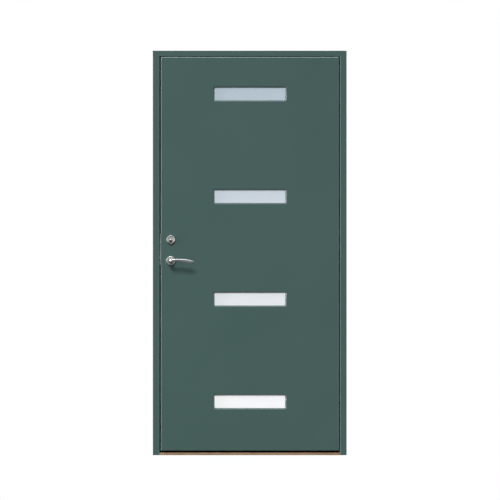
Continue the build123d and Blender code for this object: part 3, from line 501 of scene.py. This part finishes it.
lights = (1, 2, 3, 4)
hinges = (1, 2, 3)
finish(door_paint, "lock_jamb", "hinge_jamb", "head", "outer_skin", "inner_skin")
finish(door_paint, "lock_stile", "hinge_stile", "bottom_rail", "top_rail")
finish(oiled_oak, "threshold")
finish(rigid_foam, "insulation_core")
finish(trim_paint, *[f"light_{n}_{side}_trim" for n in lights for side in ("outer", "inner")])
finish(frosted_glass, *[f"light_{n}_panes" for n in lights])
finish(mill_aluminium, "wear_strip", *[f"light_{n}_spacers" for n in lights])
finish(seal_rubber, "weather_seal")
finish(faceplate_steel, "faceplate", "strike_plate")
finish(satin_steel, "outer_rose", "inner_rose", "thumbturn", "thumbturn_rose", "cylinder_ring")
finish(nickel, "cylinder_body", "key_plug")
finish(
    plated_steel,
    "spindle", "follower", "lock_cam", "lock_case", "latch_bolt", "dead_bolt", "corner_screws",
    "fixing_sleeves",
    "jamb_long_links", "jamb_short_links", "stile_long_links", "stile_short_links",
    *[f"hinge_{n}_{side}_cup" for n in hinges for side in ("frame", "leaf")],
)


# Mesh helpers

sharp_from = radians(42)


def to_object(name, maker, material, smooth=True):
    """A linked object from a bmesh, with its material."""
    mesh = bpy.data.meshes.new(name)
    bmesh.ops.recalc_face_normals(maker, faces=maker.faces)
    maker.to_mesh(mesh)
    maker.free()
    for polygon in mesh.polygons:
        polygon.use_smooth = smooth
    if smooth:
        mesh.set_sharp_from_angle(angle=sharp_from)
    piece = bpy.data.objects.new(name, mesh)
    bpy.context.scene.collection.objects.link(piece)
    piece.data.materials.append(material)
    return piece


def walls_between(maker, near, far):
    """Side faces from one closed loop of points to another of as many."""
    count = len(near)
    for i in range(count):
        j = (i + 1) % count
        maker.faces.new((near[i], near[j], far[j], far[i]))


def fill_between(maker, *loops):
    """A flat face between closed loops of points."""
    edges = []
    for loop in loops:
        edges += [maker.edges.get((loop[i], loop[(i + 1) % len(loop)])) for i in range(len(loop))]
    bmesh.ops.triangle_fill(maker, use_beauty=True, edges=edges)


def skin_rings(maker, rings, close_start=True, close_end=True):
    """Faces between rings of equally many points, with fans over the ends."""
    loops = [[maker.verts.new(p) for p in ring] for ring in rings]
    count = len(loops[0])
    for near, far in zip(loops, loops[1:]):
        walls_between(maker, near, far)
    for loop, wanted in ((loops[0], close_start), (loops[-1], close_end)):
        if wanted:
            hub = maker.verts.new(sum((v.co for v in loop), Vector()) / count)
            for i in range(count):
                maker.faces.new((loop[i], loop[(i + 1) % count], hub))
    return loops


def smooth_between(table, at):
    """A value read from (place, value) pairs on a curve that runs smoothly through them."""
    if at <= table[0][0]:
        return table[0][1]
    for k in range(len(table) - 1):
        (x0, y0), (x1, y1) = table[k], table[k + 1]
        if at <= x1:
            before = table[k - 1] if k else table[k]
            after = table[k + 2] if k + 2 < len(table) else table[k + 1]
            slope_0 = (y1 - before[1]) / (x1 - before[0])
            slope_1 = (after[1] - y0) / (after[0] - x0)
            span = x1 - x0
            t = (at - x0) / span
            return (
                (2 * t**3 - 3 * t**2 + 1) * y0
                + (t**3 - 2 * t**2 + t) * span * slope_0
                + (-2 * t**3 + 3 * t**2) * y1
                + (t**3 - t**2) * span * slope_1
            )
    return table[-1][1]


# Levers

# Along the arm from the spindle's axis: rise of the middle, half height, half thickness, and how far the
# lower front is hollowed
arm_rise = [
    (0, 1.0), (14, 3.0), (24, 3.9), (34, 3.6), (50, 2.0), (68, 0.3), (87, -2.4), (104, -5.0), (118, -4.6),
]
arm_half_height = [
    (0, 10.2), (10, 8.6), (20, 6.8), (33, 6.6), (50, 8.2), (68, 9.2), (87, 9.3), (104, 7.4), (113, 4.6),
    (118, 2.0),
]
arm_half_depth = [
    (0, 8.5), (10, 7.8), (20, 6.95), (33, 6.3), (50, 5.6), (68, 4.8), (87, 4.0), (104, 3.0), (118, 1.1),
]
arm_hollow = [(0, 0.0), (16, 0.0), (34, 0.35), (60, 0.75), (90, 0.8), (108, 0.5), (118, 0.0)]

lever_reach = 52.0
neck_radius = 10.3
neck_profile = [(0.5, 10.5), (6, 10.5), (20, 10.4), (30, neck_radius), (36, neck_radius)]
bend_radius = 16.0
bend_steps = 9
arm_steps = 40
section_points = 40

# The rings of the arm lie closer together towards its tip
tip_crowding = 1.35

# The lower front is hollowed from a crease down. The crease's height and the width over which the hollow
# deepens are shares of the half height, and its depth is a share of the half thickness
crease_height = 0.52
crease_width = 0.7
hollow_depth = 0.38


def lever_section(half_depth, half_height, hollow):
    """Points round the arm's section, as (depth from its middle, away from the leaf, and height)."""
    points = []
    for i in range(section_points):
        angle = 2 * pi * i / section_points
        depth, height = cos(angle), sin(angle)
        dip = 0.0
        if depth > 0 and height < crease_height:
            dip = sin(min(1.0, (crease_height - height) / crease_width) * pi / 2) * depth
        points.append((half_depth * (depth - hollow_depth * hollow * dip), half_height * height))
    return points


def make_lever(name, face, outward, node):
    """One lever: a round neck from the rose, a tight bend and the waisted arm."""

    def at(across, away, up):
        """A point of the lever: along the arm, away from the leaf, and up from the spindle."""
        return Vector((axis_x + across * MM, face - outward * away * MM, lever_z + up * MM))

    rings = []
    for away, radius in neck_profile:
        angles = [2 * pi * i / section_points for i in range(section_points)]
        rings.append([at(-radius * cos(a), away, radius * sin(a)) for a in angles])

    straight = lever_reach - bend_radius
    for step in range(1, bend_steps):
        turn = radians(90) * step / bend_steps
        place = bend_radius * (1 - cos(turn))
        rise = smooth_between(arm_rise, place) * sin(turn)
        tall = neck_radius + (smooth_between(arm_half_height, place) - neck_radius) * sin(turn)
        deep = neck_radius + (smooth_between(arm_half_depth, place) - neck_radius) * sin(turn)
        away = straight + bend_radius * sin(turn)
        rings.append([
            at(-cos(turn) * depth + place, away + sin(turn) * depth, height + rise)
            for depth, height in lever_section(deep, tall, 0.0)
        ])

    for step in range(arm_steps + 1):
        share = step / arm_steps
        place = bend_radius + (lever_length - bend_radius) * (1 - (1 - share) ** tip_crowding)
        deep = smooth_between(arm_half_depth, place)
        tall = smooth_between(arm_half_height, place)
        rise = smooth_between(arm_rise, place)
        hollow = smooth_between(arm_hollow, place)
        section = lever_section(deep, tall, hollow)
        rings.append([at(place, lever_reach + depth, height + rise) for depth, height in section])

    maker = bmesh.new()
    skin_rings(maker, rings)
    piece = to_object(name, maker, satin_steel)
    smoothing = piece.modifiers.new("rounding", "SUBSURF")
    smoothing.levels = 1
    smoothing.render_levels = 1
    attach(piece, "levers")
    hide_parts(node)


make_lever("outer_lever_handle", outside_face, 1, "outer_lever")
make_lever("inner_lever_handle", inside_face, -1, "inner_lever")


# Roses, the cylinder's cover, the cylinder and its plug

def rounded_profile(points, radius, steps=5):
    """A profile of (radius, height) points whose inner corners are rounded."""
    made = [points[0]]
    for before, corner, after in zip(points, points[1:], points[2:]):
        before, corner, after = Vector(before), Vector(corner), Vector(after)
        reach = min(radius, (before - corner).length * 0.45, (after - corner).length * 0.45)
        start = corner + (before - corner).normalized() * reach
        end = corner + (after - corner).normalized() * reach
        for k in range(steps + 1):
            t = k / steps
            made.append(tuple(start * (1 - t) ** 2 + corner * 2 * t * (1 - t) + end * t**2))
    made.append(points[-1])
    return made


def ring_points(centre_z, face, outward, radius, height, count):
    """A round ring on the lock's axis, standing at a height over a face of the leaf."""
    return [
        Vector((
            axis_x + radius * cos(2 * pi * i / count) * MM,
            face - outward * height * MM,
            centre_z + radius * sin(2 * pi * i / count) * MM,
        ))
        for i in range(count)
    ]


def turned_piece(maker, centre_z, face, outward, profile, count, close_end=False):
    """The skin of a turned piece on the lock's axis; the profile is (radius, height) pairs."""
    rings = [ring_points(centre_z, face, outward, radius, height, count) for radius, height in profile]
    return skin_rings(maker, rings, close_start=False, close_end=close_end)


# A rose from its bore to its foot: a shallow dish, a broad rim and a rounded edge
rose_bore = 10.9
rose_height = 9.0
rose_rounding = 1.3
rose_points = 72
rose_corners = [
    (rose_bore, 0.1), (rose_bore, rose_height - 2.7), (16.2, rose_height - 2.5), (17.4, rose_height),
    (22.6, rose_height - 0.3), (24.0, rose_height - 2.6), (24.0, 0.0),
]


def make_rose(name, face, outward, node):
    """A rose with a rounded rim and a shallow dish round its bore."""
    maker = bmesh.new()
    turned_piece(maker, lever_z, face, outward, rounded_profile(rose_corners, rose_rounding), rose_points)
    piece = to_object(name, maker, satin_steel)
    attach(piece, "leaf")
    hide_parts(node)


make_rose("outer_rose_disc", outside_face, 1, "outer_rose")
make_rose("inner_rose_disc", inside_face, -1, "inner_rose")


# The cylinder's cover: a ring with a sunk face, and a lobe below it round the boss. Each corner of the rim is
# how far it lies outside the outline, and its height
cover_radius = 21.4
cover_middle_drop = 22.4
lobe_radius = 12.5
cover_bore = 11.3
least_wall = 0.5
cover_face = 6.2
cover_rim = [(0.0, 0.0), (0.0, 6.8), (-0.8, 8.9), (-2.5, 9.9), (-4.2, 8.9), (-5.0, cover_face)]
cover_rounding = 1.6
bore_depth = 5.7
cover_points = 96
bore_points = 48


def make_cylinder_cover():
    """The round cover with its lobe: a broad rounded rim, a sunk face, and an opening for the boss."""
    ring_z = ring_top - cover_middle_drop * MM
    drop = (ring_z - turn_z) / MM

    def ring_at(grow, height):
        """The cover's outline with its lobe, moved out by an amount and set at a height."""
        lobe = max(lobe_radius + grow, cover_bore + least_wall)
        ring = []
        for i in range(cover_points):
            angle = 2 * pi * i / cover_points
            along = Vector((cos(angle), sin(angle)))
            toward = along.dot(Vector((0, -drop)))
            offset = sqrt(max(0.0, drop**2 - toward**2))
            reach = toward + sqrt(lobe**2 - offset**2) if offset < lobe else 0.0
            r = max(cover_radius + grow, reach)
            ring.append(Vector((
                axis_x + along.x * r * MM, outside_face - height * MM, ring_z + along.y * r * MM,
            )))
        return ring

    maker = bmesh.new()
    rim = rounded_profile(cover_rim, cover_rounding)
    rings = [ring_at(grow, height) for grow, height in rim]
    loops = skin_rings(maker, rings, close_start=False, close_end=False)
    mouth_places = ring_points(turn_z, outside_face, 1, cover_bore, cover_face, bore_points)
    mouth = [maker.verts.new(p) for p in mouth_places]
    deep = [maker.verts.new(v.co + Vector((0, bore_depth * MM, 0))) for v in mouth]
    walls_between(maker, mouth, deep)
    fill_between(maker, mouth, loops[-1])
    piece = to_object("cylinder_cover", maker, satin_cover)
    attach(piece, "leaf")
    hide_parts("cylinder_ring")


# The cylinder: a round boss with the plug's bore outside, and an oval body inside the leaf
boss_radius = 11.0
boss_height = 9.0
plug_bore_radius = 6.5
plug_bore_depth = 20.0
boss_rounding = 0.9
boss_points = 48
body_depths = (0.3, 22.8)
body_arc_steps = 24


def make_cylinder_boss():
    """The cylinder's oval body and its round boss, with a softened edge round the plug."""
    maker = bmesh.new()
    boss_corners = [
        (boss_radius, 0.0), (boss_radius, boss_height), (plug_bore_radius, boss_height),
        (plug_bore_radius, -plug_bore_depth),
    ]
    turned_piece(maker, turn_z, outside_face, 1, rounded_profile(boss_corners, boss_rounding), boss_points)
    half = boss_radius * MM
    top_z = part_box("cylinder_body")[1].z - half
    angles = [pi * i / body_arc_steps for i in range(body_arc_steps + 1)]
    arc = [(half * cos(a), half * sin(a)) for a in angles]
    loop = [(axis_x + x, top_z + z) for x, z in arc] + [(axis_x - x, turn_z - z) for x, z in arc]
    rings = [[Vector((x, outside_face + depth * MM, z)) for x, z in loop] for depth in body_depths]
    loops = skin_rings(maker, rings, close_start=False, close_end=True)
    maker.faces.new(loops[0])
    piece = to_object("cylinder_case", maker, nickel)
    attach(piece, "leaf")
    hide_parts("cylinder_body")


# The key plug: a dished face with its keyway, and a stepped body behind it
plug_face = 7.0
plug_radius = 6.4
plug_length = 22.0
plug_dish = 0.7
plug_rounding = 0.4
plug_points = 48
plug_corners = [
    (plug_radius, -plug_length), (plug_radius, plug_face), (5.2, plug_face + 0.2),
    (4.6, plug_face - plug_dish),
]
plug_back = [(6.3, -plug_length), (2.5, -22.4), (2.5, -28.6)]
plug_back_points = 24
keyway_depth = 14.0
keyway_half_width = 1.0
keyway_half_height = 4.2
keyway_outline = [
    (keyway_half_width, -keyway_half_height),
    (keyway_half_width, -0.6),
    (keyway_half_width * 0.4, 0.2),
    (keyway_half_width * 1.1, 1.2),
    (keyway_half_width * 0.9, keyway_half_height),
    (-keyway_half_width * 0.9, keyway_half_height),
    (-keyway_half_width * 0.3, 1.4),
    (-keyway_half_width, 0.4),
    (-keyway_half_width, -keyway_half_height),
]


def make_key_plug():
    """The plug: a dished round face with its keyway, and the body behind it."""
    maker = bmesh.new()
    loops = turned_piece(
        maker, turn_z, outside_face, 1, rounded_profile(plug_corners, plug_rounding), plug_points,
    )

    def at(x, z, height):
        return maker.verts.new((axis_x + x * MM, outside_face - height * MM, turn_z + z * MM))

    mouth = [at(x, z, plug_face - plug_dish) for x, z in keyway_outline]
    deep = [at(x, z, plug_face - keyway_depth) for x, z in keyway_outline]
    walls_between(maker, mouth, deep)
    maker.faces.new(deep)
    fill_between(maker, mouth, loops[-1])
    turned_piece(maker, turn_z, outside_face, 1, plug_back, plug_back_points, close_end=True)
    piece = to_object("key_plug_face", maker, plug_painted_shade)
    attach(piece, "plug")
    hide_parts("key_plug")


make_cylinder_cover()
make_cylinder_boss()
make_key_plug()


# Screws with cross recesses

screw_head_radius = 4.15
screw_head_depth = 2.4
screw_head_chamfer = 0.12
screw_length = 24
shank_radius = 2.15
tip_length = 4
tip_radius = 0.3
screw_points = 32
screw_profile = [
    (screw_head_radius - screw_head_chamfer, 0.0), (screw_head_radius, screw_head_chamfer),
    (shank_radius, screw_head_depth), (shank_radius, screw_length - tip_length), (tip_radius, screw_length),
]

# The cross recess: its arms' reach and half width, and how it narrows to its floor
cross_arm = 0.62 * screw_head_radius
cross_half = 0.17 * screw_head_radius
cross_taper = 0.75
cross_depth = 1.3
cross_outline = [
    (cross_half, cross_half), (cross_half, cross_arm), (-cross_half, cross_arm), (-cross_half, cross_half),
    (-cross_arm, cross_half), (-cross_arm, -cross_half), (-cross_half, -cross_half),
    (-cross_half, -cross_arm), (cross_half, -cross_arm), (cross_half, -cross_half),
    (cross_arm, -cross_half), (cross_arm, cross_half),
]


def make_screws(name, body, node, heads):
    """Countersunk screws. Each head is a place, the direction that it faces, and its recess's turn."""
    maker = bmesh.new()
    for place, facing, turn in heads:
        across = Vector((0, 0, 1)).cross(facing).normalized()
        up = facing.cross(across).normalized()

        def at(x, y, depth):
            return place + (across * x + up * y - facing * depth) * MM

        angles = [2 * pi * i / screw_points for i in range(screw_points)]
        rings = [[at(r * cos(a), r * sin(a), depth) for a in angles] for r, depth in screw_profile]
        loops = skin_rings(maker, rings, close_start=False)
        cross = [(x * cos(turn) - y * sin(turn), x * sin(turn) + y * cos(turn)) for x, y in cross_outline]
        rim = [maker.verts.new(at(x, y, 0.0)) for x, y in cross]
        recess = [maker.verts.new(at(x * cross_taper, y * cross_taper, cross_depth)) for x, y in cross]
        walls_between(maker, rim, recess)
        maker.faces.new(recess)
        fill_between(maker, rim, loops[0])
    piece = to_object(name, maker, plated_steel)
    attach(piece, body)
    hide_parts(node)


lock_screw_spacing = 148 * MM
cup_screw_spacing = 92 * MM
screw_sink = 0.05 * MM


def screw_heads(seat, facing, spacing, turns):
    """Two heads on one plate: its face is the side of the seat's box that the screws were driven into."""
    low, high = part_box(seat)
    centre = (low + high) / 2
    edge = high.x if facing > 0 else low.x
    heads = []
    for side, turn in zip((-1, 1), turns):
        place = Vector((edge - facing * screw_sink, centre.y, centre.z + side * spacing / 2))
        heads.append((place, Vector((facing, 0, 0)), turn))
    return heads


lock_middle_y = middle("lock_case").y


def at_lock(heads):
    """The lock's screws stand in the middle of the case, not of the faceplate's own depth."""
    return [(Vector((p.x, lock_middle_y, p.z)), facing, turn) for p, facing, turn in heads]


leaf_heads = at_lock(screw_heads("faceplate", -1, lock_screw_spacing, (0.3, 1.1)))
jamb_heads = at_lock(screw_heads("strike_plate", 1, lock_screw_spacing, (0.7, 0.1)))
for n in hinges:
    leaf_heads += screw_heads(f"hinge_{n}_leaf_cup", 1, cup_screw_spacing, (0.4 * n, 0.9 * n))
    jamb_heads += screw_heads(f"hinge_{n}_frame_cup", -1, cup_screw_spacing, (0.7 * n, 0.2 * n))
make_screws("leaf_screws", "leaf", "leaf_hardware_screws", leaf_heads)
make_screws("jamb_screws", "frame", "jamb_hardware_screws", jamb_heads)


# Floor, room, lamps and camera

floor_half = 30
floor_drop = 0.5 * MM
floor_tones = ((0.74, 0.74, 0.74), (0.80, 0.80, 0.80))
floor_seen_by_the_door = (0.08, 0.083, 0.086)

# Near the door the camera sees a little of the floor's own shade, and further out only white
shade_near = 0.3
shade_far = 1.6
white_near = 0.84


def make_floor():
    """A plain pale floor. The camera sees it as white that darkens a little where the door keeps the light
    off, and the door's own surfaces see it as a dim grey."""
    maker = bmesh.new()
    corners = ((-1, -1), (1, -1), (1, 1), (-1, 1))
    maker.faces.new([maker.verts.new((x * floor_half, y * floor_half, 0)) for x, y in corners])
    material = bpy.data.materials.new("pale_floor")
    material.use_nodes = True
    tree = material.node_tree
    principled = tree.nodes["Principled BSDF"]
    path = tree.nodes.new("ShaderNodeLightPath")
    pale = mix_colour(tree, noise(tree, scale=3, detail=4), *floor_tones)
    colour = mix_colour(tree, path.outputs["Is Camera Ray"], floor_seen_by_the_door, pale)
    tree.links.new(colour, principled.inputs["Base Color"])
    principled.inputs["Roughness"].default_value = 0.8
    white = tree.nodes.new("ShaderNodeEmission")
    white.inputs["Strength"].default_value = 1.0
    place = tree.nodes.new("ShaderNodeTexCoord")
    reach = tree.nodes.new("ShaderNodeVectorMath")
    reach.operation = "LENGTH"
    tree.links.new(place.outputs["Object"], reach.inputs[0])
    cover = spread(tree, reach.outputs["Value"], shade_near, shade_far, white_near, 1.0)
    seen = maths(tree, "MULTIPLY", path.outputs["Is Camera Ray"], cover)
    mix = tree.nodes.new("ShaderNodeMixShader")
    tree.links.new(seen, mix.inputs["Fac"])
    tree.links.new(principled.outputs["BSDF"], mix.inputs[1])
    tree.links.new(white.outputs["Emission"], mix.inputs[2])
    tree.links.new(mix.outputs["Shader"], tree.nodes["Material Output"].inputs["Surface"])
    floor = to_object("floor", maker, material, smooth=False)
    floor.location.z = cad_low.z - floor_drop


room_low = (0.03, 0.031, 0.033)
room_high = (0.66, 0.68, 0.70)


def make_world():
    """A soft room, brighter above than below. The camera and light through the glass see plain white all
    round, and reflections see it behind the door."""
    world = bpy.data.worlds.new("soft_room")
    bpy.context.scene.world = world
    world.use_nodes = True
    tree = world.node_tree
    light = tree.nodes["Background"]
    light.inputs["Strength"].default_value = 1.0
    place = tree.nodes.new("ShaderNodeTexCoord")
    parts = tree.nodes.new("ShaderNodeSeparateXYZ")
    tree.links.new(place.outputs["Generated"], parts.inputs["Vector"])
    height = spread(tree, parts.outputs["Z"], -0.1, 0.6, 0.0, 1.0)
    behind = spread(tree, parts.outputs["Y"], 0.05, 0.35, 0.0, 1.0)
    tree.links.new(mix_colour(tree, height, room_low, room_high), light.inputs["Color"])
    white = tree.nodes.new("ShaderNodeBackground")
    white.inputs["Color"].default_value = (1, 1, 1, 1)
    white.inputs["Strength"].default_value = 1.0
    path = tree.nodes.new("ShaderNodeLightPath")
    mirrored = maths(tree, "MULTIPLY", path.outputs["Is Glossy Ray"], behind)
    direct = maths(tree, "MAXIMUM", path.outputs["Is Camera Ray"], path.outputs["Is Transmission Ray"])
    mix = tree.nodes.new("ShaderNodeMixShader")
    tree.links.new(maths(tree, "MAXIMUM", direct, mirrored), mix.inputs["Fac"])
    tree.links.new(light.outputs["Background"], mix.inputs[1])
    tree.links.new(white.outputs["Background"], mix.inputs[2])
    tree.links.new(mix.outputs["Shader"], tree.nodes["World Output"].inputs["Surface"])


def add_lamp(lamp, toward):
    """Put a lamp in the scene, shining along a direction."""
    holder = bpy.data.objects.new(lamp.name, lamp)
    holder.rotation_euler = Vector(toward).to_track_quat("-Z", "Y").to_euler()
    bpy.context.scene.collection.objects.link(holder)
    return holder


def make_key(toward, width, strength):
    """A far soft lamp that lights the whole height evenly: the way its light goes, and how wide it looks."""
    lamp = bpy.data.lights.new("key", "SUN")
    lamp.angle = width
    lamp.energy = strength
    add_lamp(lamp, toward)


def make_lamp(name, place, aim, size, power):
    """A rectangular soft lamp."""
    lamp = bpy.data.lights.new(name, "AREA")
    lamp.shape = "RECTANGLE"
    lamp.size, lamp.size_y = size
    lamp.energy = power
    holder = add_lamp(lamp, Vector(aim) - Vector(place))
    holder.location = place


# What the camera's picture spans in width at the door's face, and the point in the middle of it
photo_width = 2.5535
photo_centre = Vector((1.5 * MM, outside_face, 1.0477))
lens_length = 250
sensor_width = 36


def make_camera():
    """A long lens square on to the door, as in the photo."""
    camera_data = bpy.data.cameras.new("camera")
    camera_data.lens = lens_length
    camera_data.sensor_width = sensor_width
    camera_data.clip_start = 0.5
    camera_data.clip_end = 100
    camera = bpy.data.objects.new("camera", camera_data)
    distance = photo_width / (sensor_width / lens_length)
    camera.location = photo_centre - Vector((0, distance, 0))
    camera.rotation_euler = (radians(90), 0, 0)
    bpy.context.scene.collection.objects.link(camera)
    bpy.context.scene.camera = camera


make_floor()
make_world()
make_key(toward=(0.22, 1.0, -1.0), width=radians(17), strength=2.82)
make_lamp("left_side", place=(-4.6, -0.50, 1.3), aim=(0, outside_face, 1.05), size=(0.9, 3.4), power=200)
make_lamp("behind", place=(1.5, 4.5, 3.0), aim=(0, 0, 1.0), size=(3.0, 3.0), power=260)
make_camera()
bpy.context.scene.view_settings.view_transform = "Standard"
